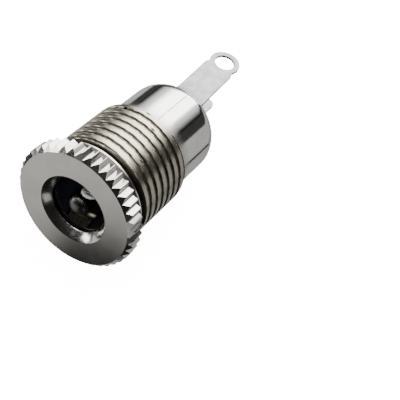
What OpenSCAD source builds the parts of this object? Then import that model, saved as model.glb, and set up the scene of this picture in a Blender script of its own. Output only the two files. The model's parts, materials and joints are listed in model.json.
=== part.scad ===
// Panel-mount DC power jack with a metal shell, for 5.5 x 2.1 mm barrel plugs.
// The axis is along Y. The front face looks towards -Y and the solder lugs towards +Y.
// The origin is on the axis, in the rear face of the flange, which seats on the panel.
// Lengths along the axis are counted from that seat, in millimetres.

/* [Flange] */
// Diameter over the serration's crests
flange_d = 12.8; // [12.4:0.1:14]
// Thickness of the flange
flange_t = 1.8; // [1.6:0.1:2.6]
// Diameter of the flat front face, inside the front chamfer
face_d = 11.8; // [11.4:0.1:11.8]
// Number of serrations around the flange
serrations = 44; // [36:2:60]
// Radial depth of a serration
serration_depth = 0.38; // [0.2:0.02:0.4]
// Width of the flat land that is left on a serration's crest
serration_land = 0.1; // [0.04:0.02:0.2]

/* [Mouth] */
// Diameter of the bore that takes the plug
mouth_d = 5.6; // [5.55:0.05:5.8]
// Diameter of the countersink at the front face
countersink_d = 7; // [6.6:0.1:7.4]
// Depth of the metal lip behind the front face
lip_t = 1.2; // [1:0.1:1.5]

/* [Thread and shell] */
// Major diameter of the mounting thread
thread_d = 11; // [10.8:0.1:11.4]
// Plain land between the flange and the relief groove
land_len = 1.1; // [0.6:0.1:1.3]
// Width of the relief groove in front of the thread
relief_w = 0.75; // [0.5:0.05:0.9]
// Radial depth of the relief groove
relief_depth = 0.5; // [0.3:0.05:0.55]
// Where the thread ends
thread_end = 9; // [8:0.1:10]
// Chamfer at the rear end of the thread
thread_chamfer = 0.4; // [0.2:0.05:0.5]
// Diameter of the smooth body behind the thread
body_d = 9.8; // [9.7:0.1:10]
// Where the rounded rear end of the body would close on the axis
body_end = 16.6; // [16.5:0.1:17]
// Radius of the rounded rear end
body_round = 2.5; // [2.4:0.1:2.8]
// Diameter of the cavity in the shell
cavity_d = 8.6; // [8.5:0.05:8.6]
// Radius of the opening that the rolled rear rim leaves
rear_opening_r = 3.7; // [3.7:0.01:3.8]

/* [Housing] */
// Diameter of the plug's space in the housing
socket_d = 5.8; // [5.7:0.1:6]
// Where the floor of the plug's space lies
socket_floor = 9.6; // [8.5:0.1:10.5]
// Width of the slot for the contact spring
slot_w = 2.6; // [2.4:0.1:3]
// Distance of the slot's outer wall from the axis
slot_r = 3.9; // [3.8:0.05:3.95]

/* [Centre pin] */
// Diameter of the centre pin
pin_d = 2; // [1.9:0.05:2.1]
// How far the pin's tip lies behind the front face
pin_recess = 0.3; // [0.1:0.1:1.5]
// Diameter of the collar that seats on the socket's floor
pin_collar_d = 3.4; // [3:0.1:4]
// Length of that collar
pin_collar_len = 0.9; // [0.6:0.1:1.4]
// Diameter of the pin's tail
tail_d = 1.5; // [1.3:0.1:1.6]
// Diameter of the riveted head on the tail
rivet_d = 2.3; // [2:0.1:2.4]
// Height of the riveted head
rivet_h = 0.5; // [0.4:0.1:0.7]

/* [Contact spring] */
// Width of the leaf
leaf_w = 2.2; // [1.8:0.1:2.3]
// Thickness of the leaf
leaf_t = 0.25; // [0.2:0.01:0.3]
// Distance of the bow's crest from the axis
crest_r = 2.2; // [2:0.05:2.5]
// Where the crest lies
crest_y = 0.9; // [0.7:0.1:1.2]

/* [Sleeve lug] */
// Width of the sleeve lug's strip
sleeve_lug_w = 3.3; // [2.8:0.1:3.3]
// Thickness of the sleeve lug
sleeve_lug_t = 0.3; // [0.25:0.05:0.4]
// Height of the strip's middle above the axis, where it leaves its foot
sleeve_lug_h = 2.75; // [2.7:0.05:2.9]
// Angle by which the strip rises towards its eye
sleeve_lug_rise = 7; // [0:1:12]
// Length of the strip from its foot to the centre of the eye
sleeve_lug_len = 8.8; // [7:0.1:10]
// Outer radius of the eye
sleeve_eye_r = 1.65; // [1.5:0.05:1.65]
// Diameter of the hole in the eye
sleeve_hole_d = 2.1; // [1.6:0.1:2.2]

/* [Pin lug] */
// Width of the pin lug's strip
pin_lug_w = 1.7; // [1.5:0.1:2]
// Thickness of the pin lug
pin_lug_t = 0.3; // [0.25:0.05:0.4]
// Depth of the strip's middle below the axis
pin_lug_drop = 1.45; // [1.4:0.05:1.7]
// Where the centre of the strip's rounded end lies
pin_lug_end = 22.9; // [22.3:0.1:24]
// Where the centre of the solder hole lies
pin_hole_y = 21.3; // [20.5:0.1:22]
// Diameter of the solder hole
pin_hole_d = 0.8; // [0.6:0.1:1]

/* [Rear washer] */
// Diameter of the insulating washer
washer_d = 7.1; // [6.8:0.1:7.2]
// Thickness of the insulating washer
washer_t = 0.9; // [0.8:0.05:1]

/* [Hidden] */

// More than a cut needs to pass through a wall
past = 1;

// Along the axis, from the front to the rear
face_y = -flange_t;
lip_y = face_y + lip_t;
relief_y = land_len;
thread_y = relief_y + relief_w;
round_y = body_end - body_round;

// The shell
thread_r = thread_d / 2;
body_r = body_d / 2;
cavity_r = cavity_d / 2;
round_r = body_r - body_round;
rim_wall = body_r - cavity_r;
inner_round = body_round - rim_wall;
flange_chamfer = (flange_d - face_d) / 2;
countersink_depth = (countersink_d - mouth_d) / 2;
rear_edge_chamfer = 0.12;

// Distance along the axis from the rounding's centre to the point at radius r on an arc of radius arc_r
function arc_rise(arc_r, r) = sqrt(pow(arc_r, 2) - pow(r - round_r, 2));

// The stack that the rolled rim holds, from the front to the rear
foot_r = 3.95;
sleeve_foot_rear = round_y + arc_rise(inner_round, foot_r);
sleeve_foot_front = sleeve_foot_rear - sleeve_lug_t;
housing_rear = sleeve_foot_front - leaf_t;
washer_rear = sleeve_foot_rear + washer_t;
pin_foot_rear = washer_rear + pin_lug_t;

// Feet and clearances
tail_hole_d = tail_d + 0.1;
tail_clearance_r = 1.5;
bend_r = 0.35;
pin_foot_r = 1.5;
housing_edge = 0.25;
entry_chamfer = 0.25;

// The contact spring's line, as distances from the axis
leaf_seat_r = slot_r - 0.2;
leaf_tip_r = 3.25;
leaf_tip_y = lip_y + 0.35;
leaf_straight_y = 7.4;
leaf_bow_r = 0.9;
leaf_steps = 14;

// Turns a body of revolution about Z so that it lies along the jack's axis
module along_axis() {
    rotate([-90, 0, 0]) children();
}

// A revolved body, drawn as points [radius, place along the axis]
module turned(points) {
    along_axis() rotate_extrude($fn = 180) polygon(points);
}

// A round bar or bore from one place along the axis to another
module round_bar(d, from, to) {
    translate([0, from, 0]) along_axis() cylinder(h = to - from, d = d, $fn = 96);
}

// A sheet that lies level at height z and is drawn from above as children
module level_sheet(z, t) {
    translate([0, 0, z - t / 2]) linear_extrude(height = t) children();
}

// A sheet across the axis, from one place to another, drawn from behind as children
module cross_sheet(from, to) {
    translate([0, to, 0]) rotate([90, 0, 0]) linear_extrude(height = to - from) children();
}

// Points along an arc about c, from angle a to angle b
function arc(c, r, a, b, steps) =
    [for (i = [0 : steps]) let (t = a + (b - a) * i / steps) [c[0] + r * cos(t), c[1] + r * sin(t)]];

// ---- Barrel ----

// Cross-section of the serrated flange: sharp grooves between narrow lands
module serrated_disc() {
    crest_r = flange_d / 2;
    root_r = crest_r - serration_depth;
    step = 360 / serrations;
    half_land = serration_land / crest_r * 90 / PI;
    polygon([for (i = [0 : serrations - 1], k = [0 : 2])
        let (turn = i * step + [-half_land, half_land, step / 2][k], r = [crest_r, crest_r, root_r][k])
        [r * cos(turn), r * sin(turn)]]);
}

// Flange with its front chamfer and a slight break of the rear edge, cut into serrations
module flange() {
    crest_r = flange_d / 2;
    intersection() {
        translate([0, face_y, 0]) along_axis() linear_extrude(height = flange_t) serrated_disc();
        turned([[0, face_y], [face_d / 2, face_y], [crest_r, face_y + flange_chamfer],
            [crest_r, -rear_edge_chamfer], [crest_r - rear_edge_chamfer, 0], [0, 0]]);
    }
}

// Outside of the shell behind the flange, with its rounded rear end cut open at the rolled rim
module shell_outside() {
    rim_angle = acos((rear_opening_r - round_r) / body_round);
    turned(concat(
        [[0, -rear_edge_chamfer], [thread_r, -rear_edge_chamfer], [thread_r, relief_y],
            [thread_r - relief_depth, relief_y], [thread_r - relief_depth, thread_y - relief_depth / 2],
            [thread_r, thread_y], [thread_r, thread_end - thread_chamfer],
            [thread_r - thread_chamfer, thread_end], [body_r, thread_end]],
        arc([round_r, round_y], body_round, 0, rim_angle, 24),
        [[0, round_y + arc_rise(body_round, rear_opening_r)]]));
}

// Cavity behind the lip, with the curve that the rolled rim has inside
module shell_cavity() {
    rim_angle = acos((rear_opening_r - round_r) / inner_round);
    turned(concat(
        [[0, lip_y], [cavity_r, lip_y]],
        arc([round_r, round_y], inner_round, 0, rim_angle, 24),
        [[rear_opening_r, body_end + past], [0, body_end + past]]));
}

module barrel() {
    color([0.72, 0.70, 0.66]) difference() {
        union() {
            flange();
            shell_outside();
        }
        shell_cavity();
        round_bar(mouth_d, face_y - past, lip_y + past);
        turned([[0, face_y - past], [countersink_d / 2 + past, face_y - past],
            [mouth_d / 2, face_y + countersink_depth], [0, face_y + countersink_depth]]);
    }
}

// ---- Moulded housing ----

module contact_housing() {
    color([0.06, 0.06, 0.07]) difference() {
        turned([[0, lip_y], [cavity_r, lip_y], [cavity_r, round_y], [cavity_r - housing_edge / 2, round_y],
            [cavity_r - housing_edge, housing_rear], [0, housing_rear]]);
        round_bar(socket_d, lip_y - past, socket_floor);
        turned([[0, lip_y - past], [socket_d / 2 + entry_chamfer + past, lip_y - past],
            [socket_d / 2, lip_y + entry_chamfer], [0, lip_y + entry_chamfer]]);
        round_bar(tail_hole_d, socket_floor - past, housing_rear + past);
        translate([-slot_w / 2, lip_y + entry_chamfer, -slot_r])
            cube([slot_w, housing_rear + past - lip_y - entry_chamfer, slot_r - pin_collar_d / 2 - bend_r]);
    }
}

// ---- Centre pin ----

module centre_pin() {
    tip_y = face_y + pin_recess;
    dome_h = 0.7 * pin_d / 2;
    color([0.62, 0.60, 0.56]) {
        turned(concat(
            [for (i = [0 : 12]) let (t = 90 * i / 12) [pin_d / 2 * sin(t), tip_y + dome_h * (1 - cos(t))]],
            [[pin_d / 2, socket_floor - pin_collar_len], [pin_collar_d / 2, socket_floor - pin_collar_len],
                [pin_collar_d / 2, socket_floor], [tail_d / 2, socket_floor], [tail_d / 2, pin_foot_rear],
                [rivet_d / 2, pin_foot_rear], [rivet_d / 2, pin_foot_rear + rivet_h / 2],
                [rivet_d / 3, pin_foot_rear + rivet_h], [0, pin_foot_rear + rivet_h]]));
    }
}

// ---- Contact spring ----

// Line of the leaf as [place along the axis, distance from the axis], from the tip to the foot
function leaf_line() = concat(
    [[leaf_tip_y, leaf_tip_r]],
    [for (i = [0 : leaf_steps])
        let (t = -50 + 68 * i / leaf_steps)
        [crest_y + leaf_bow_r * sin(t), crest_r + leaf_t / 2 + leaf_bow_r * (1 - cos(t))]],
    [[leaf_straight_y, leaf_seat_r], [housing_rear + leaf_t / 2, leaf_seat_r]]);

// Direction across the line at point i
function across(line, i) =
    let (a = line[max(i - 1, 0)], b = line[min(i + 1, len(line) - 1)], d = b - a)
    [-d[1], d[0]] / norm(d);

// Outline of a line with thickness t
function thick(line, t) = concat(
    [for (i = [0 : len(line) - 1]) line[i] + across(line, i) * t / 2],
    [for (i = [len(line) - 1 : -1 : 0]) line[i] - across(line, i) * t / 2]);

module contact_spring() {
    color([0.80, 0.72, 0.52]) {
        translate([-leaf_w / 2, 0, 0]) rotate([90, 0, 90]) mirror([0, 1, 0])
            linear_extrude(height = leaf_w) polygon(thick(leaf_line(), leaf_t));
        cross_sheet(housing_rear, housing_rear + leaf_t) difference() {
            circle(r = foot_r, $fn = 96);
            circle(r = tail_clearance_r, $fn = 96);
            translate([-foot_r, slot_r - 2 * sleeve_lug_t]) square([2 * foot_r, foot_r]);
        }
    }
}

// ---- Sleeve lug ----

// Strip with its narrower neck and its eye, seen from above, with the strip's start at Y 0
module sleeve_lug_outline() {
    shoulder = sleeve_lug_len - sleeve_eye_r;
    neck_w = sleeve_lug_w - 0.4;
    difference() {
        union() {
            translate([-sleeve_lug_w / 2, 0]) square([sleeve_lug_w, shoulder]);
            translate([-neck_w / 2, 0]) square([neck_w, sleeve_lug_len]);
            translate([0, sleeve_lug_len]) circle(r = sleeve_eye_r, $fn = 64);
        }
        translate([0, sleeve_lug_len]) circle(d = sleeve_hole_d, $fn = 64);
    }
}

module sleeve_lug() {
    color([0.82, 0.83, 0.84]) {
        translate([0, sleeve_foot_front + sleeve_lug_t / 2, sleeve_lug_h]) rotate([sleeve_lug_rise, 0, 0])
            level_sheet(0, sleeve_lug_t) sleeve_lug_outline();
        cross_sheet(sleeve_foot_front, sleeve_foot_rear) difference() {
            circle(r = foot_r, $fn = 96);
            circle(r = tail_clearance_r, $fn = 96);
            translate([-foot_r, sleeve_lug_h]) square([2 * foot_r, foot_r]);
        }
    }
}

// ---- Rear washer ----

module rear_washer() {
    flat_z = sleeve_lug_h - sleeve_lug_t / 2 - 0.15;
    color([0.10, 0.09, 0.08]) cross_sheet(sleeve_foot_rear, washer_rear) difference() {
        circle(d = washer_d, $fn = 96);
        circle(d = tail_hole_d, $fn = 48);
        translate([-washer_d / 2, flat_z]) square([washer_d, washer_d]);
    }
}

// ---- Pin lug ----

module pin_lug() {
    strip_top = pin_lug_t / 2 - pin_lug_drop;
    strip_bottom = strip_top - pin_lug_t;
    color([0.80, 0.81, 0.82]) {
        level_sheet(-pin_lug_drop, pin_lug_t) difference() {
            union() {
                translate([-pin_lug_w / 2, washer_rear]) square([pin_lug_w, pin_lug_end - washer_rear]);
                translate([0, pin_lug_end]) circle(d = pin_lug_w, $fn = 48);
            }
            translate([0, pin_hole_y]) circle(d = pin_hole_d, $fn = 48);
        }
        cross_sheet(washer_rear, pin_foot_rear) difference() {
            union() {
                circle(r = pin_foot_r, $fn = 64);
                translate([-pin_lug_w / 2, strip_bottom]) square([pin_lug_w, pin_lug_drop]);
            }
            circle(d = tail_hole_d, $fn = 48);
            translate([-pin_foot_r, -2 * pin_foot_r + strip_bottom]) square(2 * pin_foot_r);
        }
    }
}

barrel();
contact_housing();
centre_pin();
contact_spring();
sleeve_lug();
rear_washer();
pin_lug();
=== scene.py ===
"""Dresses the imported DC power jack: nickel shell, tinned lugs, plug contacts and studio."""
import json
import math

import bmesh
import bpy
from mathutils import Matrix, Vector


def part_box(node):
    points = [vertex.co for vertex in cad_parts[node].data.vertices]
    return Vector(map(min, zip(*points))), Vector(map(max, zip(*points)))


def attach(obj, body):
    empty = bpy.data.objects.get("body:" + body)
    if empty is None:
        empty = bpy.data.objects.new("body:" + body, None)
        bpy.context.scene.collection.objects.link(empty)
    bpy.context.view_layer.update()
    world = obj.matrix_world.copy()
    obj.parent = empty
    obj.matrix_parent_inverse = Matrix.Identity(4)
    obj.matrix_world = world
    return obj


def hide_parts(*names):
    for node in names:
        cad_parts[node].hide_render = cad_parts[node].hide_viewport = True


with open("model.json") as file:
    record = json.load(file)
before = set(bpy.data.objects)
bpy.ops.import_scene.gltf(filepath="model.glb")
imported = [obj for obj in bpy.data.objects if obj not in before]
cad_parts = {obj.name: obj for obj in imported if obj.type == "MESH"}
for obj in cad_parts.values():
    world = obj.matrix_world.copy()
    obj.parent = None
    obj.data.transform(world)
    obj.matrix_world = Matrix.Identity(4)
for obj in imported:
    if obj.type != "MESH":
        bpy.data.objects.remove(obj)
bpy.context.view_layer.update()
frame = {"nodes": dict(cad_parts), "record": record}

MM = 0.001


def cad_mount(name):
    """The record's mount of that name."""
    return next(m for m in frame["record"]["mounts"] if m["name"] == name)


# ---- Sizes, in millimetres; lengths along the axis count from the panel seat ----

shell_low, shell_high = (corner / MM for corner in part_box("barrel"))
FACE_Y = shell_low.y
RIM_Y = shell_high.y
CREST_R = shell_high.z
THREAD_R = cad_mount("mounting_thread")["dims"]["r_mm"]
PIN_R = cad_mount("centre_pin")["dims"]["r_mm"]

SERRATIONS = 44
SERRATION_DEPTH = 0.38
FACE_R = CREST_R - 0.5
COUNTERSINK_R = 3.5
MOUTH_R = 2.8
LIP = 1.2
LAND_END = 1.1
RELIEF_R = THREAD_R - 0.5
THREAD_START = 1.85
THREAD_END = 9.0
THREAD_CHAMFER = 0.4
RUN_IN = 0.25
PITCH = 1.0
THREAD_DEPTH = 0.25
ROOT_HALF_W = 0.12
FLANK_W = 0.13
BODY_R = 4.9
BODY_ROUND = 2.5
ROUND_Y = 14.1
ROUND_R = BODY_R - BODY_ROUND
CAVITY_R = 4.3
INNER_ROUND = BODY_ROUND - (BODY_R - CAVITY_R)
REAR_OPENING_R = 3.7
FLOOR_Z = -CREST_R - 0.05
LUG_REFLECTION_ANGLE = math.radians(83.5)

LUG_W = 3.3
LUG_BEND_R = 0.3
LUG_EYE_R = 1.65
LUG_NECK = 0.2
LUG_NECK_TAPER = 0.35
LUG_FOOT_R = 3.95
LUG_FOOT_HOLE_R = 1.5
LUG_FOOT_OVERLAP = 1.4

PANEL_DISTANCE = 160
PANEL_FAR_Y = 1500


# ---- Materials ----

class Wire:
    """An output socket. Arithmetic on it adds Math nodes."""

    def __init__(self, finish, socket):
        self.finish = finish
        self.socket = socket

    def math(self, operation, *others):
        return self.finish.node("ShaderNodeMath", {"operation": operation}, self, *others)

    def __add__(self, other):
        return self.math("ADD", other)

    def __sub__(self, other):
        return self.math("SUBTRACT", other)

    def __mul__(self, other):
        return self.math("MULTIPLY", other)

    def __truediv__(self, other):
        return self.math("DIVIDE", other)

    def __pow__(self, other):
        return self.math("POWER", other)

    def __rsub__(self, other):
        return self.finish.node("ShaderNodeMath", {"operation": "SUBTRACT"}, other, self)

    __radd__ = __add__
    __rmul__ = __mul__

    def ramp(self, low, high):
        """0 below low, 1 above high, smooth between. With low above high it falls instead."""
        settings = {"interpolation_type": "SMOOTHSTEP"}
        if low > high:
            return 1 - self.finish.node("ShaderNodeMapRange", settings, self, high, low, 0.0, 1.0)
        return self.finish.node("ShaderNodeMapRange", settings, self, low, high, 0.0, 1.0)

    def clamp(self):
        return self.finish.node("ShaderNodeClamp", {}, self, 0.0, 1.0)


class Finish:
    """One node material on a Principled shader."""

    def __init__(self, name):
        self.material = bpy.data.materials.new(name)
        self.material.use_nodes = True
        self.nodes = self.material.node_tree.nodes
        self.links = self.material.node_tree.links
        self.shader = self.nodes["Principled BSDF"]

    def feed(self, socket, value):
        if isinstance(value, Wire):
            self.links.new(value.socket, socket)
        elif value is not None:
            socket.default_value = value

    def node(self, kind, settings, *values, output=0):
        """Adds a node: its settings first, then the values or wires of its sockets in order."""
        made = self.nodes.new(kind)
        for key, setting in settings.items():
            setattr(made, key, setting)
        for socket, value in zip(made.inputs, values):
            self.feed(socket, value)
        return Wire(self, made.outputs[output])

    def set(self, **values):
        """Feeds the shader's own sockets, named with underscores for spaces."""
        for key, value in values.items():
            self.feed(self.shader.inputs[key.replace("_", " ")], value)

    def place(self, scale=(1.0, 1.0, 1.0)):
        """The point in millimetres, stretched by scale."""
        here = self.node("ShaderNodeTexCoord", {}, output=3)
        factor = tuple(s / MM for s in scale)
        return self.node("ShaderNodeVectorMath", {"operation": "MULTIPLY"}, here, factor)

    def split(self, vector):
        parts = self.node("ShaderNodeSeparateXYZ", {}, vector)
        outputs = parts.socket.node.outputs
        return tuple(Wire(self, outputs[i]) for i in range(3))

    def join(self, x, y, z):
        return self.node("ShaderNodeCombineXYZ", {}, x, y, z)

    def round_axis(self):
        """Distance from the jack's axis, angle round it in radians, and place along it."""
        x, y, z = self.split(self.place())
        radius = (x * x + z * z) ** 0.5
        return radius, z.math("ARCTAN2", x), y

    def noise(self, scale, detail=3.0, roughness=0.55, vector=None, seed=0.0):
        """Noise from 0 to 1, with scale in features a millimetre."""
        settings = {"noise_dimensions": "4D", "normalize": True}
        vector = vector or self.place()
        return self.node("ShaderNodeTexNoise", settings, vector, seed, scale, detail, roughness)

    def cells(self, scale, vector):
        """Distance to the nearest of scattered points."""
        return self.node("ShaderNodeTexVoronoi", {"feature": "F1"}, vector, None, scale)

    def mix(self, factor, first, second):
        """Colour between first and second."""
        made = self.nodes.new("ShaderNodeMix")
        made.data_type = "RGBA"
        self.feed(made.inputs["Factor"], factor)
        self.feed(made.inputs[6], first if isinstance(first, Wire) else (*first, 1.0))
        self.feed(made.inputs[7], second if isinstance(second, Wire) else (*second, 1.0))
        return Wire(self, made.outputs[2])

    def bump(self, height, depth):
        """Normal from a height of 0 to 1 that stands depth millimetres high."""
        made = self.nodes.new("ShaderNodeBump")
        made.inputs["Distance"].default_value = depth * MM
        self.feed(made.inputs["Height"], height)
        return Wire(self, made.outputs[0])


def satin_nickel():
    """Flat front face: satin plating with faint turning marks."""
    f = Finish("satin_nickel")
    radius, angle = f.round_axis()[:2]
    grain = f.noise(9.0, 4.0, 0.65)
    cloud = f.noise(0.45, 2.0, 0.5, seed=2.0)
    rings = f.noise(1.0, 2.0, 0.6, vector=f.join(radius * 16.0, angle * 0.25, 0.0), seed=4.0)
    colour = f.mix(cloud.ramp(0.3, 0.7), (0.50, 0.48, 0.455), (0.56, 0.54, 0.51))
    f.set(Base_Color=colour, Metallic=1.0, Roughness=0.09 + 0.04 * grain + 0.03 * cloud,
          Normal=f.bump(grain * 0.55 + rings * 0.45, 0.0008))
    return f.material


def bright_nickel():
    """Chamfers, serrations and edges: bright plating, faintly clouded."""
    f = Finish("bright_nickel")
    grain = f.noise(6.0, 4.0, 0.6)
    cloud = f.noise(0.8, 3.0, 0.55, seed=3.0)
    colour = f.mix(cloud.ramp(0.35, 0.7), (0.70, 0.68, 0.64), (0.80, 0.785, 0.75))
    f.set(Base_Color=colour, Metallic=1.0, Roughness=0.13 + 0.08 * cloud + 0.05 * grain,
          Normal=f.bump(grain, 0.0015))
    return f.material


def thread_nickel():
    """Thread: warm plating with tool marks along the turns, flanks painted dark as shade in the groove, and
    a few black pits.
    """
    f = Finish("thread_nickel")
    radius, angle, along = f.round_axis()
    turns = along / PITCH - angle / (2 * math.pi)
    streaks = f.noise(1.0, 3.0, 0.6, vector=f.join(turns * 14.0, angle * 1.5, radius * 2.0))
    breaks = f.noise(1.0, 3.0, 0.65, vector=f.join(turns * 3.0, angle * 9.0, radius * 3.0), seed=3.0)
    cloud = f.noise(0.6, 3.0, 0.6, seed=5.0)
    pits = f.cells(0.42, f.place((1.0, 2.2, 1.0))).ramp(0.15, 0.07)
    root_r = THREAD_R - THREAD_DEPTH
    # The flanks are darkened nearly to black as painted shade in the thread's groove; the cloud term adds
    # some real grime.
    flank = radius.ramp(THREAD_R - 0.02, THREAD_R - 0.09) * radius.ramp(root_r + 0.01, root_r + 0.08)
    flank_shade_and_grime = (flank * (0.35 + breaks) + cloud.ramp(0.55, 0.8) * 0.25).clamp()
    colour = f.mix(streaks.ramp(0.3, 0.65), (0.33, 0.31, 0.25), (0.62, 0.59, 0.50))
    colour = f.mix(flank_shade_and_grime, colour, (0.07, 0.06, 0.045))
    colour = f.mix(pits, colour, (0.006, 0.006, 0.006))
    f.set(Base_Color=colour, Metallic=1.0, Roughness=0.19 + 0.12 * streaks + 0.12 * flank_shade_and_grime + 0.3 * pits,
          Normal=f.bump(streaks * 0.55 + breaks * 0.25 + cloud * 0.2 - pits, 0.008))
    return f.material


def relief_nickel():
    """Land, relief groove and inside of the rear rim: plating painted a dull near-black brown, as painted
    shade in these recesses.
    """
    f = Finish("relief_nickel")
    angle, along = f.round_axis()[1:]
    streaks = f.noise(1.0, 3.0, 0.6, vector=f.join(along * 20.0, angle * 2.0, 0.0))
    # Near-black brown: painted shade in the recesses this finish covers, behind the flange and inside the
    # rear rim.
    colour = f.mix(streaks.ramp(0.3, 0.7), (0.035, 0.031, 0.027), (0.085, 0.076, 0.065))
    f.set(Base_Color=colour, Metallic=1.0, Roughness=0.34 + 0.12 * streaks, Normal=f.bump(streaks, 0.003))
    return f.material


def polished_nickel():
    """Smooth rear body: mirror polish, uneven by a hair, with one dark line painted along it as a reflection
    of the lug's root, on a shallow groove in the bump, and painted shade at the inner edge of the rolled
    rim.
    """
    f = Finish("polished_nickel")
    radius, angle, along = f.round_axis()
    hairlines = f.noise(1.0, 3.0, 0.7, vector=f.join(along * 22.0, angle * 0.35, radius * 12.0))
    handling = f.noise(0.9, 4.0, 0.6, seed=6.0)
    uneven = f.noise(2.4, 4.0, 0.65, seed=11.0)
    breaks = f.noise(3.0, 3.0, 0.6, seed=12.0)
    # A dark line painted along the top of the body: a painted reflection of the sleeve lug's root, broken up
    # by noise.
    across = (angle - LUG_REFLECTION_ANGLE) * radius
    lug_reflection = across.math("ABSOLUTE").ramp(0.085, 0.03) * along.ramp(ROUND_Y + 0.9, ROUND_Y + 0.2)
    lug_reflection = (lug_reflection * breaks.ramp(0.3, 0.5)).clamp()
    dull = along.ramp(THREAD_END + 1.6, THREAD_END + 0.3)
    # Painted shade: the rim's inner edge, where it curls into the rear opening, darkened nearly to black.
    rim = (radius + breaks * 0.5).ramp(REAR_OPENING_R + 0.5, REAR_OPENING_R + 0.25)
    colour = f.mix(handling.ramp(0.3, 0.75), (0.80, 0.79, 0.765), (0.88, 0.875, 0.86))
    colour = f.mix(dull, colour, (0.66, 0.64, 0.59))
    colour = f.mix(lug_reflection, colour, (0.22, 0.21, 0.19))
    colour = f.mix(rim, colour, (0.05, 0.05, 0.04))
    f.set(Base_Color=colour, Metallic=1.0,
          Roughness=0.05 + 0.05 * hairlines + 0.05 * handling + 0.18 * dull + 0.2 * lug_reflection + 0.2 * rim,
          Normal=f.bump(hairlines * 0.25 + uneven * 0.9 + handling * 0.4 - lug_reflection * 0.4, 0.0035))
    return f.material


def tinned(name, root_y, darkened_reach):
    """Solder lugs: grey tin, rippled by dipping, dark and rough at the root.

    The dark speckles are thickest at root_y and end darkened_reach millimetres behind it.
    """
    f = Finish(name)
    x, y, z = f.split(f.place())
    ripple = f.noise(1.1, 3.0, 0.6, seed=7.0)
    grain = f.noise(6.0, 4.0, 0.7, seed=8.0)
    drawn = f.noise(1.0, 3.0, 0.65, vector=f.join(x * 7.0, y * 1.3, z * 2.0), seed=9.0)
    speckle = f.noise(1.0, 4.0, 0.7, vector=f.join(x * 5.5, y * 2.2, z * 3.0), seed=10.0)
    # Darker, rougher and less metallic speckles towards the root, where the lug leaves the barrel.
    root = (y + x * 0.25 + speckle * 2.2 - 1.1).ramp(root_y + darkened_reach, root_y)
    root_speckles = (root * speckle.ramp(0.42, 0.56)).clamp()
    colour = f.mix(ripple.ramp(0.3, 0.7), (0.19, 0.195, 0.205), (0.30, 0.305, 0.31))
    colour = f.mix(drawn.ramp(0.5, 0.7) * 0.5, colour, (0.42, 0.425, 0.43))
    colour = f.mix(root_speckles, colour, (0.03, 0.03, 0.025))
    rough = 0.3 + 0.1 * ripple + 0.06 * grain + 0.2 * root
    f.set(Base_Color=colour, Metallic=1.0 - 0.4 * root_speckles, Roughness=rough,
          Normal=f.bump(ripple * 0.5 + drawn * 0.35 + grain * 0.15 + root * speckle, 0.05))
    return f.material


def pin_nickel():
    """Centre pin: painted nearly black as shade deep in the mouth, with a dull grey nose and a painted
    highlight in a bright bow above it.
    """
    f = Finish("pin_nickel")
    angle, along = f.round_axis()[1:]
    grain = f.noise(5.0, 4.0, 0.6)
    hatch = f.noise(1.0, 2.0, 0.5, vector=f.join(along * 9.0 + angle * 3.0, 0.0, 0.0), seed=1.0)
    aside = angle - 1.48
    behind = along + 0.7 - aside * aside * 1.05
    # The bow and the hatched band behind it are painted highlights: pale, barely metallic colour on a pin
    # that is otherwise in shade.
    bow = behind.ramp(-0.02, 0.26) * behind.ramp(0.7, 0.3) * aside.math("ABSOLUTE").ramp(1.25, 0.4)
    hatched_highlight = behind.ramp(0.4, 0.6) * behind.ramp(1.5, 1.1) * hatch.ramp(0.4, 0.6) * 0.6
    painted_highlight = (bow + hatched_highlight).clamp()
    nose = behind.ramp(-0.1, -0.5)
    # Nearly black base colour: painted shade deep in the mouth.
    colour = f.mix(painted_highlight, (0.05, 0.05, 0.05), (0.95, 0.94, 0.91))
    colour = f.mix(nose, colour, (0.16, 0.16, 0.16))
    rough = 0.2 + 0.2 * painted_highlight + 0.14 * nose + 0.06 * grain
    f.set(Base_Color=colour, Metallic=1.0 - 0.8 * painted_highlight, Roughness=rough, Normal=f.bump(grain, 0.002))
    return f.material


def spring_bronze():
    """Contact spring: bronze painted dark as shade inside the mouth, with a highlight painted as a bright
    streak along one side of the bow's crest.
    """
    f = Finish("spring_bronze")
    x, y = f.split(f.place())[:2]
    grain = f.noise(3.0, 3.0, 0.5)
    rubbing = f.noise(1.0, 3.0, 0.6, vector=f.join(x * 5.0, y * 0.8, 0.0))
    behind = y - x * 0.25
    # The streak at the crest is a painted highlight: pale, barely metallic colour.
    crest = behind.ramp(0.4, 0.75) * behind.ramp(1.1, 0.8) * x.ramp(0.2, 0.7) * x.ramp(1.2, 0.9)
    # Dark base colour: painted shade inside the mouth.
    colour = f.mix(rubbing.ramp(0.3, 0.7), (0.10, 0.085, 0.06), (0.16, 0.14, 0.11))
    colour = f.mix(crest, colour, (0.72, 0.70, 0.54))
    f.set(Base_Color=colour, Metallic=0.95 - 0.7 * crest, Roughness=0.3 + 0.1 * rubbing + 0.05 * grain,
          Normal=f.bump(rubbing * 0.6 + grain * 0.4, 0.001))
    return f.material


def black_moulding():
    """Housing: black glass-filled nylon with the mould's fine texture."""
    f = Finish("black_moulding")
    grain = f.noise(9.0, 5.0, 0.65)
    cloud = f.noise(0.8, 2.0, 0.5, seed=1.0)
    colour = f.mix(cloud.ramp(0.3, 0.7), (0.004, 0.004, 0.006), (0.009, 0.009, 0.012))
    f.set(Base_Color=colour, Roughness=0.36 + 0.14 * grain, Normal=f.bump(grain, 0.006))
    return f.material


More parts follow.
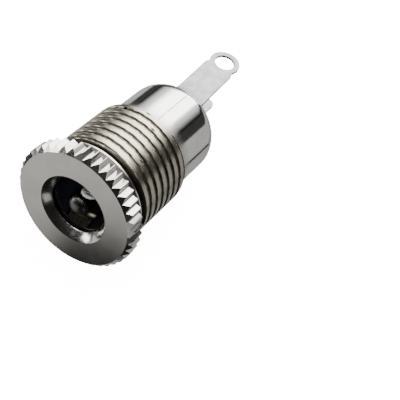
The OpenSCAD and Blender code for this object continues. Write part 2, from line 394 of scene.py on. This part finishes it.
def laminate():
    """Rear washer: punched dark laminate, with its layers showing at the edge."""
    f = Finish("laminate")
    x, y, z = f.split(f.place())
    fibre = f.noise(1.0, 4.0, 0.6, vector=f.join(x * 7.0, y * 30.0, z * 1.6))
    grain = f.noise(6.0, 3.0, 0.6)
    colour = f.mix(fibre.ramp(0.3, 0.7), (0.018, 0.014, 0.011), (0.04, 0.03, 0.022))
    f.set(Base_Color=colour, Roughness=0.5 + 0.15 * grain, Normal=f.bump(fibre * 0.5 + grain * 0.5, 0.01))
    return f.material


# ---- Shapes ----

def finish_mesh(name, mesh_data, materials):
    """Puts a bmesh into the scene as a smooth-shaded piece whose real edges stay sharp."""
    bmesh.ops.recalc_face_normals(mesh_data, faces=mesh_data.faces)
    mesh = bpy.data.meshes.new(name)
    mesh_data.to_mesh(mesh)
    mesh_data.free()
    for material in materials:
        mesh.materials.append(material)
    mesh.shade_smooth()
    mesh.set_sharp_from_angle(angle=math.radians(28))
    piece = bpy.data.objects.new(name, mesh)
    bpy.context.scene.collection.objects.link(piece)
    return piece


def bridge(mesh_data, first, second, material=0):
    """Faces between two closed rings of equally many corners."""
    for i in range(len(first)):
        j = (i + 1) % len(first)
        mesh_data.faces.new((first[i], first[j], second[j], second[i])).material_index = material


def arc_points(centre, radius, start, end, steps):
    """Points (r, y) along an arc, with angles in degrees from the radial direction towards the rear."""
    angles = [math.radians(start + (end - start) * i / steps) for i in range(steps + 1)]
    return [(centre[0] + radius * math.cos(a), centre[1] + radius * math.sin(a)) for a in angles]


# Turning angles within one serration, as shares of its pitch, closer together at the crest and the root
TOOTH_STEPS = (0.0, 0.03, 0.075, 0.25, 0.425, 0.465, 0.5, 0.535, 0.575, 0.75, 0.925, 0.97)


def serration_angle(index):
    """Angle of one of the points round the serrations."""
    tooth, step = divmod(index, len(TOOTH_STEPS))
    return 2 * math.pi * (tooth + TOOTH_STEPS[step]) / SERRATIONS


def serration_radius(index):
    """Radius over the serrations, with crest and root slightly rounded."""
    share = TOOTH_STEPS[index % len(TOOTH_STEPS)]
    height = abs(1 - 2 * share)
    edge = 0.13
    if height > 1 - edge:
        height -= (height - 1 + edge) ** 2 / (2 * edge)
    elif height < edge:
        height += (edge - height) ** 2 / (2 * edge)
    return CREST_R - SERRATION_DEPTH * (1 - edge / 2 - height) / (1 - edge)


def thread_radius(angle, y):
    """Radius of the right-hand thread: wide flat crests, steep flanks and a narrow flat root."""
    share = (y / PITCH - angle / (2 * math.pi)) % 1.0
    from_root = abs(share - 0.5) * PITCH
    height = min(max((from_root - ROOT_HALF_W) / FLANK_W, 0.0), 1.0)
    helix = THREAD_R - THREAD_DEPTH * (1 - height)
    run_in = RELIEF_R + (y - (THREAD_START - RUN_IN)) * 2
    run_out = THREAD_R + THREAD_END - THREAD_CHAMFER - y
    return max(min(helix, run_in, run_out), RELIEF_R if y < THREAD_START else BODY_R)


class Turning:
    """A closed skin built ring by ring along the jack's axis."""

    def __init__(self):
        self.mesh = bmesh.new()
        self.rings = []

    def ring(self, points, material):
        """Adds a ring of (angle, r, y) and joins it to the one before with the given material slot."""
        corners = [Vector((r * math.cos(a), y, r * math.sin(a))) * MM for a, r, y in points]
        made = [self.mesh.verts.new(corner) for corner in corners]
        if self.rings:
            self.join(self.rings[-1], made, material)
        self.rings.append(made)

    def join(self, first, second, material):
        """Joins two rings, of which one may have twice as many corners as the other."""
        if len(first) == len(second):
            bridge(self.mesh, first, second, material)
            return
        if len(first) < len(second):
            first, second = second, first
        for i, vert in enumerate(second):
            after = second[(i + 1) % len(second)]
            a, b, c = (first[(2 * i + k) % len(first)] for k in range(3))
            self.face((a, b, vert), material)
            self.face((b, c, after, vert), material)

    def face(self, corners, material):
        self.mesh.faces.new(corners).material_index = material

    def close(self, material):
        self.join(self.rings[-1], self.rings[0], material)


def shell(materials):
    """The turned shell, from its mouth round the outside to the rolled rear rim and back inside."""
    face, bright, relief, thread, polished = range(5)
    fine = len(TOOTH_STEPS) * SERRATIONS
    coarse = fine // 2
    turning = Turning()
    even = [2 * math.pi * i / coarse for i in range(coarse)]

    def fine_ring(radius, y, material):
        turning.ring([(serration_angle(i), radius, y) for i in range(fine)], material)

    def toothed_ring(inset, y_at, material):
        """A ring that follows the serrations, at a place that may depend on their radius."""
        turning.ring([(serration_angle(i), serration_radius(i) - inset, y_at(serration_radius(i)))
                      for i in range(fine)], material)

    def round_ring(radius, y, material):
        turning.ring([(a, radius, y) for a in even], material)

    lip_y = FACE_Y + LIP
    sink = COUNTERSINK_R - MOUTH_R
    # Mouth and face
    for r, y, material in (
            (MOUTH_R + 0.04, lip_y, bright), (MOUTH_R, lip_y - 0.04, bright),
            (MOUTH_R, FACE_Y + sink + 0.03, bright), (MOUTH_R + 0.03, FACE_Y + sink - 0.02, bright),
            (COUNTERSINK_R - 0.03, FACE_Y + 0.03, bright), (COUNTERSINK_R + 0.02, FACE_Y, bright),
            (COUNTERSINK_R + 0.08, FACE_Y, face), (FACE_R - 0.08, FACE_Y, face),
            (FACE_R - 0.02, FACE_Y, face)):
        fine_ring(r, y, material)
    # Chamfer, serrations and seat
    toothed_ring(0.0, lambda r: FACE_Y + r - FACE_R, bright)
    toothed_ring(0.0, lambda r: -0.13, bright)
    toothed_ring(0.04, lambda r: -0.04, bright)
    toothed_ring(0.13, lambda r: 0.0, bright)
    fine_ring(THREAD_R + 0.2, 0.0, bright)
    # Land and relief groove
    for r, y, material in (
            (THREAD_R, 0.0, bright), (THREAD_R, 0.04, relief), (THREAD_R, LAND_END - 0.2, relief),
            (THREAD_R, LAND_END - 0.05, bright), (THREAD_R - 0.05, LAND_END, bright),
            (RELIEF_R + 0.06, LAND_END, relief), (RELIEF_R, LAND_END + 0.06, relief),
            (RELIEF_R, THREAD_START - RUN_IN - 0.02, relief)):
        round_ring(r, y, material)
    # Thread
    rings_per_turn = 30
    threaded = THREAD_END - THREAD_START + RUN_IN
    steps = round(threaded / PITCH * rings_per_turn)
    for i in range(steps + 1):
        y = THREAD_START - RUN_IN + threaded * i / steps
        material = relief if y < THREAD_START + 0.02 else thread
        turning.ring([(a, thread_radius(a, y), y) for a in even], material)
    # Body, rolled rim and inside
    round_ring(BODY_R + 0.05, THREAD_END + 0.01, thread)
    body_start = THREAD_END + 0.07
    for i in range(6):
        round_ring(BODY_R, body_start + (ROUND_Y - body_start) * i / 6, polished)
    rim_angle = math.degrees(math.acos((REAR_OPENING_R - ROUND_R) / BODY_ROUND))
    for r, y in arc_points((ROUND_R, ROUND_Y), BODY_ROUND, 0, rim_angle - 1.5, 26):
        round_ring(r, y, polished)
    inner_angle = math.degrees(math.acos((REAR_OPENING_R - ROUND_R) / INNER_ROUND))
    round_ring(REAR_OPENING_R, RIM_Y - 0.05, polished)
    for r, y in arc_points((ROUND_R, ROUND_Y), INNER_ROUND, inner_angle, 0, 12):
        round_ring(r, y, relief)
    round_ring(CAVITY_R, lip_y, bright)
    turning.close(bright)
    return finish_mesh("shell", turning.mesh, materials)


def lug_strip(name, material, length, hole_r, foot_y, height, rise):
    """The lug's strip: it leaves the foot in a bend, rises by the angle rise and ends in an eye.

    The bend's corner lies at foot_y along the axis and at the given height above it.
    """
    mesh = bmesh.new()
    turn = math.pi / 2 - rise
    reach = LUG_BEND_R * math.tan(turn / 2)

    def fold(x, s):
        """The point across by x, and by s along the middle of the sheet from the bend's corner."""
        if s > reach:
            return Vector((x, foot_y + s * math.sin(turn), height + s * math.cos(turn))) * MM
        if s < -reach:
            return Vector((x, foot_y, height + s)) * MM
        a = turn * (s + reach) / (2 * reach)
        y = foot_y + LUG_BEND_R * (1 - math.cos(a))
        return Vector((x, y, height - reach + LUG_BEND_R * math.sin(a))) * MM

    # Places across the strip, as shares of its half width, closer together towards its sides
    crowding = 0.35
    columns = [crowding * math.cos(math.pi * (1 - i / 10)) + (1 - crowding) * (i / 5 - 1) for i in range(11)]
    half = LUG_W / 2
    eye_reach = math.sqrt(LUG_EYE_R ** 2 - (half - LUG_NECK) ** 2)
    shoulder = length - eye_reach - 0.9 * LUG_NECK - LUG_NECK_TAPER
    stations = [-LUG_FOOT_OVERLAP, -LUG_FOOT_OVERLAP / 2] + [reach * (i / 4 - 1) for i in range(9)]
    stations += [reach + (shoulder - reach) * i / 24 for i in range(1, 25)]
    grid = [[mesh.verts.new(fold(c * half, s)) for c in columns] for s in stations]
    for low, high in zip(grid, grid[1:]):
        for i in range(len(columns) - 1):
            mesh.faces.new((low[i], low[i + 1], high[i + 1], high[i]))

    # The eye: rings between its outline, closed by the strip's last row, and its hole
    drop = length - shoulder
    corner = math.atan2(half, drop)
    around = 44
    sweep = [corner + (2 * math.pi - 2 * corner) * i / around for i in range(1, around)]

    def outline(a):
        """Distance from the eye's centre to its outline, with a from the strip's side."""
        a = min(a, 2 * math.pi - a)
        if a >= math.pi / 2:
            return LUG_EYE_R
        narrowed = min(max((drop - half / math.tan(a)) / LUG_NECK_TAPER, 0.0), 1.0)
        return max(LUG_EYE_R, (half - LUG_NECK * narrowed) / math.sin(a))

    def eye_point(a, r):
        return mesh.verts.new(fold(r * math.sin(a), length - r * math.cos(a)))

    angles = [math.atan2(c * half, drop) % (2 * math.pi) for c in columns] + sweep
    outers = [math.hypot(c * half, drop) for c in columns] + [outline(a) for a in sweep]
    previous = grid[-1] + [eye_point(a, outline(a)) for a in sweep]
    layers = 4
    for k in range(1, layers + 1):
        made = [eye_point(a, outer + (hole_r - outer) * k / layers) for a, outer in zip(angles, outers)]
        bridge(mesh, previous, made)
        previous = made
    return finish_mesh(name, mesh, [material])


def lug_foot(name, material, foot_y, height):
    """The lug's foot: a ring across the axis that is cut off level with the bend."""
    mesh = bmesh.new()
    turns = [2 * math.pi * i / 64 for i in range(64)]
    rings = []
    for r in (LUG_FOOT_HOLE_R, (LUG_FOOT_HOLE_R + LUG_FOOT_R) / 2, LUG_FOOT_R):
        corners = [Vector((r * math.cos(a), foot_y, min(r * math.sin(a), height))) * MM for a in turns]
        rings.append([mesh.verts.new(corner) for corner in corners])
    for inner, outer in zip(rings, rings[1:]):
        bridge(mesh, inner, outer)
    return finish_mesh(name, mesh, [material])


def thicken(piece, thickness, edge):
    """Gives a sheet its thickness on both sides and rounds its stamped edges."""
    solid = piece.modifiers.new("thickness", "SOLIDIFY")
    solid.thickness = thickness * MM
    solid.offset = 0.0
    bevel = piece.modifiers.new("edge", "BEVEL")
    bevel.width = edge * MM
    bevel.segments = 3
    bevel.limit_method = "ANGLE"
    bevel.angle_limit = math.radians(50)
    graph = bpy.context.evaluated_depsgraph_get()
    made = bpy.data.meshes.new_from_object(piece.evaluated_get(graph))
    piece.modifiers.clear()
    piece.data = made
    made.shade_smooth()
    made.set_sharp_from_angle(angle=math.radians(40))


# ---- The jack ----

body = shell([satin_nickel(), bright_nickel(), relief_nickel(), thread_nickel(), polished_nickel()])
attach(body, "root")
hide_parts("barrel")


def sleeve_lug():
    """The long lug's strip and foot, placed by its CAD eye and by the washer behind its foot."""
    material = tinned("tinned_lug", RIM_Y, 1.6)
    eye = cad_mount("sleeve_lug_eye")
    centre = Vector(eye["pos_m"]) / MM
    thickness = eye["dims"]["length_mm"]
    rise = math.atan2(-eye["axis"][1], eye["axis"][2])
    foot_y = (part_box("rear_washer")[0] / MM).y - thickness / 2
    length = (centre.y - foot_y) / math.cos(rise)
    height = centre.z - length * math.sin(rise)
    strip = lug_strip("sleeve_lug_sheet", material, length, eye["dims"]["r_mm"], foot_y, height, rise)
    foot = lug_foot("sleeve_lug_sheet_foot", material, foot_y, height)
    for piece in (strip, foot):
        thicken(piece, thickness, thickness * 0.16)
        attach(piece, "root")
        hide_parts("sleeve_lug")


def refinish(node, material):
    """Keeps a CAD node's mesh and gives it a finished material."""
    mesh = frame["nodes"][node].data
    mesh.materials.clear()
    mesh.materials.append(material)


sleeve_lug()
refinish("contact_housing", black_moulding())
refinish("centre_pin", pin_nickel())
refinish("contact_spring", spring_bronze())
refinish("rear_washer", laminate())
refinish("pin_lug", tinned("tinned_pin_lug", RIM_Y, 0.6))


# ---- Studio ----

def floor():
    """A white floor that glows by itself and neither shows in the jack nor lights it."""
    half = 600
    mesh = bpy.data.meshes.new("floor")
    corners = [(-half, -half), (half, -half), (half, half), (-half, half)]
    mesh.from_pydata([Vector((x, y, FLOOR_Z)) * MM for x, y in corners], [], [(0, 1, 2, 3)])
    paper = Finish("white_paper")
    paper.set(Base_Color=(0.9, 0.9, 0.9, 1.0), Roughness=0.8, Emission_Color=(1.0, 1.0, 1.0, 1.0),
              Emission_Strength=14.0)
    mesh.materials.append(paper.material)
    sheet = bpy.data.objects.new("floor", mesh)
    bpy.context.scene.collection.objects.link(sheet)
    sheet.visible_glossy = False
    sheet.visible_diffuse = False


def panel(name, corners, power, shade=None):
    """A glowing card that the jack reflects and the camera doesn't see.

    shade(finish) may dim it from place to place, 0 to 1.
    """
    mesh = bpy.data.meshes.new(name)
    mesh.from_pydata([Vector(c) * MM for c in corners], [], [tuple(range(len(corners)))])
    f = Finish(name)
    glow = (1.0, 0.995, 0.98)
    colour = f.mix(shade(f), (0.0, 0.0, 0.0), glow) if shade else (*glow, 1.0)
    f.set(Base_Color=(0.0, 0.0, 0.0, 1.0), Roughness=1.0, Specular_IOR_Level=0.0, Emission_Color=colour,
          Emission_Strength=power)
    mesh.materials.append(f.material)
    board = bpy.data.objects.new(name, mesh)
    bpy.context.scene.collection.objects.link(board)
    board.visible_camera = False
    board.visible_shadow = False


def along_panel(name, start, end, near, power, shade=None):
    """A panel parallel to the jack's axis that fills the angles start to end round it, from near on."""
    corners = []
    for degrees, y in ((start, near), (end, near), (end, PANEL_FAR_Y), (start, PANEL_FAR_Y)):
        turn = math.radians(degrees)
        corners.append((PANEL_DISTANCE * math.cos(turn), y, PANEL_DISTANCE * math.sin(turn)))
    panel(name, corners, power, shade)


def two_step_edge(wide, bright):
    """Shade for a softbox whose light rises a little between the angles wide and fully between bright."""
    def shade(f):
        angle = f.round_axis()[1]
        skirt = angle.ramp(*(math.radians(a) for a in wide))
        core = angle.ramp(*(math.radians(a) for a in bright))
        return 0.2 * skirt + 0.8 * core
    return shade


def facing_panel(name, azimuth, elevation, width, height, power):
    """A panel that faces the mouth. Azimuth 0 is straight ahead of it and 90 is towards +X."""
    turn = math.radians(azimuth)
    lift = math.radians(elevation)
    ahead = Vector((math.sin(turn) * math.cos(lift), -math.cos(turn) * math.cos(lift), math.sin(lift)))
    across = Vector((math.cos(turn), math.sin(turn), 0.0)) * width / 2
    upward = ahead.cross(across).normalized() * height / 2
    centre = Vector((0, FACE_Y, 0)) + ahead * PANEL_DISTANCE
    panel(name, [centre - across - upward, centre + across - upward, centre + across + upward,
                 centre - across + upward], power)


def front_floor_panel():
    """The grey table ahead of the face, with a dark shape that the face mirrors."""
    dark_x = -19.0
    dark_y = -58.0

    def shade(f):
        x, y = f.split(f.place())[:2]
        away = ((x - dark_x) * (x - dark_x) + (y - dark_y) * (y - dark_y)) ** 0.5
        return 0.01 + 0.8 * away.ramp(5.0, 19.0) + 0.19 * away.ramp(16.0, 34.0)

    corners = [(-5, -300, -80), (-5, -30, -80), (-300, -30, -80), (-300, -300, -80)]
    panel("front_table", corners, 0.86, shade)


def mouth_light():
    """A soft light from the camera's side that reaches into the mouth and shows in no reflection."""
    light = bpy.data.lights.new("mouth_light", "AREA")
    light.shape = "DISK"
    light.size = 20 * MM
    light.energy = 0.09
    lamp = bpy.data.objects.new("mouth_light", light)
    direction = Vector((0.25, -0.72, 0.65)).normalized()
    turned = direction.to_track_quat("Z", "Y").to_matrix().to_4x4()
    distance = 90 * MM
    lamp.matrix_world = Matrix.Translation(direction * distance) @ turned
    lamp.visible_camera = False
    lamp.visible_glossy = False
    bpy.context.scene.collection.objects.link(lamp)


def world_light(grey):
    """Faint light from all round, slightly warm."""
    world = bpy.data.worlds.new("studio")
    world.use_nodes = True
    world.node_tree.nodes["Background"].inputs[0].default_value = (grey, grey * 0.995, grey * 0.98, 1.0)
    bpy.context.scene.world = world


def camera():
    """A long lens, close above the front right of the jack."""
    lens = bpy.data.cameras.new("camera")
    lens.lens = 76.5
    lens.sensor_width = 36.0
    lens.clip_start = 0.005
    lens.clip_end = 5.0
    view = bpy.data.objects.new("camera", lens)
    bpy.context.scene.collection.objects.link(view)
    right = Vector((0.8128, 0.5023, 0.2958)).normalized()
    forward = Vector((-0.1803, 0.6993, -0.6916))
    forward = (forward - right * forward.dot(right)).normalized()
    up = right.cross(forward)
    turned = Matrix((right, up, -forward)).transposed().to_4x4()
    place = Vector((22.39, -48.59, 56.36)) * MM
    view.matrix_world = Matrix.Translation(place) @ turned
    bpy.context.scene.camera = view


camera()
floor()
world_light(0.012)
along_panel("top_right_light", 42, 98, -60, 7.0, two_step_edge((44, 70), (66, 77)))
along_panel("top_left_light", 98, 170, -60, 7.0, two_step_edge((168, 142), (145, 122)))
along_panel("right_grey", -32, 18, 0, 0.5)
along_panel("right_dim", 18, 42, 0, 0.04)
along_panel("left_dim", 168, 190, 0, 0.05)
along_panel("low_right_grey", -110, -39, 0, 0.42)
along_panel("rear_left_grey", 190, 245, 25, 0.6)
front_floor_panel()
facing_panel("left_light", -64, 4, 40, 56, 6.0)
facing_panel("right_front_grey", 54, -22, 50, 60, 0.5)
facing_panel("left_high_grey", -36, 31, 30, 30, 0.2)
mouth_light()
